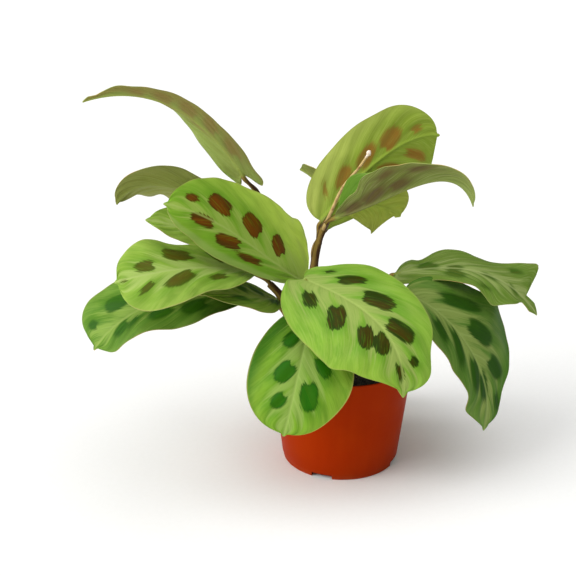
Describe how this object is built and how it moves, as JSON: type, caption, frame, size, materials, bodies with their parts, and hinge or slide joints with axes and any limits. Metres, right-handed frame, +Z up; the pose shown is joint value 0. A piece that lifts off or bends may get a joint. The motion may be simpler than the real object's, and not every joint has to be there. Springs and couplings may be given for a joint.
{
  "type": "potted prayer plant",
  "caption": "Prayer plant with broad arching leaves on jointed stems, growing in a tapered round plastic nursery pot filled with dark soil.",
  "frame": {"origin": "centre of the flat underside of the pot, on the surface that it stands on", "axes": "+Z up along the pot's axis, +X to the right across the longest spread of leaves, -Y towards the front"},
  "size_m": [0.31, 0.1963, 0.2707],
  "materials": {
    "pot_plastic": "satin",
    "soil_peat": "matte",
    "stem": "satin",
    "dried_stalk": "matte",
    "leaf_bright": "satin",
    "leaf_deep": "satin",
    "leaf_underside": "satin"
  },
  "bodies": {
    "root": {"pot": "pot_plastic", "soil": "soil_peat", "stem_upper_right": "stem", "stem_upper_left": "stem", "stem_left": "stem", "stem_front": "stem", "stem_right": "stem", "stem_rear": "stem", "dried_flower_stalk": "dried_stalk", "leaf_front": "leaf_bright", "leaf_front_low": "leaf_bright", "leaf_left_big": "leaf_bright", "leaf_left_middle": "leaf_bright", "leaf_left_low": "leaf_deep", "leaf_left_tucked": "leaf_deep", "leaf_left_under": "leaf_bright", "leaf_left_back": "leaf_underside", "leaf_left_tall": "leaf_underside", "leaf_right_tall": "leaf_underside", "leaf_right_folded": "leaf_underside", "leaf_right_back": "leaf_underside", "leaf_right_high": "leaf_bright", "leaf_right_low": "leaf_deep", "leaf_rear_young": "leaf_deep", "leaf_rear_right": "leaf_bright", "leaf_rear_middle": "leaf_bright", "leaf_rear_left": "leaf_bright"}
  },
  "joints": []
}
